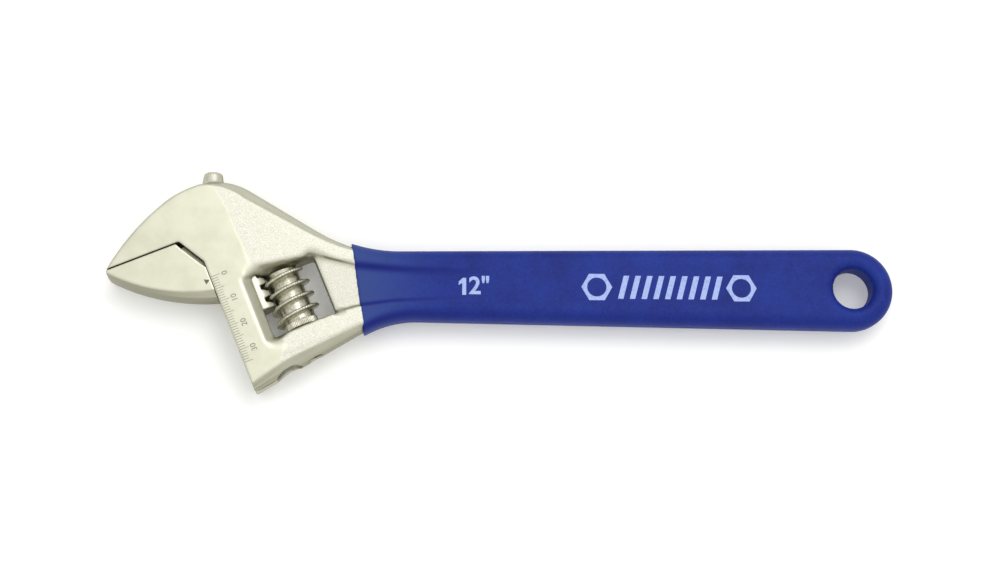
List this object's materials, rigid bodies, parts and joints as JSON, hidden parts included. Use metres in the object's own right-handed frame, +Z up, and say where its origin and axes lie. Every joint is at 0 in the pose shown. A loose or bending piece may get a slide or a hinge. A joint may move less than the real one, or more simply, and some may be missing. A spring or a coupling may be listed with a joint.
{
  "type": "adjustable wrench",
  "caption": "Adjustable wrench with an angled satin-plated head, a worm-driven sliding jaw, a millimetre scale and a blue dipped grip with a hanging hole.",
  "frame": {"origin": "middle of the closed wrench's box, on the surface that it lies on", "axes": "+X along the handle from the jaws to the hanging hole, +Y towards the back of the fixed jaw, +Z up out of the upper cheek"},
  "size_m": [0.3, 0.0854, 0.0182],
  "materials": {
    "forged_steel": "forged steel, blasted and satin nickel plated, with machined cheeks",
    "worm_steel": "turned and knurled steel, satin nickel plated",
    "pin_steel": "turned steel, plated",
    "spring_steel": "oiled spring wire",
    "dipped_vinyl": "dipped vinyl with a fine matte texture and a pale printed mark"
  },
  "bodies": {
    "frame": {"body": "forged_steel", "grip_sleeve": "dipped_vinyl", "worm_pin": "pin_steel", "worm_spring": "spring_steel"},
    "worm": {"adjusting_worm": "worm_steel"},
    "jaw": {"movable_jaw": "forged_steel"}
  },
  "joints": [
    {"name": "worm_spin", "type": "hinge", "parent": "frame", "child": "worm", "pos_m": [-0.08121, -0.00688, 0.0091], "axis": [-0.3827, 0.9239, 0], "range_deg": [0, 2520]},
    {"name": "jaw_slide", "type": "slide", "parent": "frame", "child": "jaw", "axis": [0.3827, -0.9239, 0], "range_m": [0, 0.035]}
  ],
  "couplings": [
    {"joint": "worm_spin", "follows": "jaw_slide", "rad_per_m": 1256.6}
  ]
}
